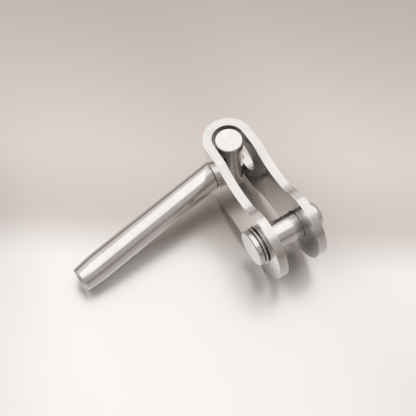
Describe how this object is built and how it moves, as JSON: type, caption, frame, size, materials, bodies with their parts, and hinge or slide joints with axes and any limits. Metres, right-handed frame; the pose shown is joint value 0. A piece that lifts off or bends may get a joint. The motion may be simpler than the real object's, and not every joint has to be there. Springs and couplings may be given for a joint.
{
  "type": "swage toggle terminal",
  "caption": "Rope-end toggle: a slotted U-strap of flat bar with round eyes and a clevis pin across its jaw, and a bored swage shank on a crossbar that swings in the bend.",
  "frame": {"origin": "centre of the clevis pin, midway between the strap's legs", "axes": "+X from the bend out through the jaw, +Y along the clevis pin from its head to its tail, +Z across the strap's width, along the axis that the shank swings about"},
  "size_m": [0.0714, 0.103, 0.0328],
  "materials": {
    "strap_steel": "satin faces and brushed edges",
    "bar_steel": "ground, with faced ends",
    "shank_steel": "polished, with fine turned rings",
    "pin_steel": "polished",
    "washer_steel": "stamped",
    "split_pin_steel": "drawn wire"
  },
  "bodies": {
    "strap": {"toggle_strap": "strap_steel"},
    "terminal": {"crossbar": "bar_steel", "swage_shank": "shank_steel"},
    "pin": {"clevis_pin": "pin_steel", "washer": "washer_steel", "split_pin": "split_pin_steel"}
  },
  "joints": [
    {"name": "shank_swing", "type": "hinge", "parent": "strap", "child": "terminal", "pos_m": [-0.04325, 0, 0], "axis": [0, 0, 1], "range_deg": [-205, 0]},
    {"name": "pin_turn", "type": "hinge", "parent": "strap", "child": "pin", "pos_m": [0, 0, 0], "axis": [0, 1, 0], "continuous": true}
  ]
}
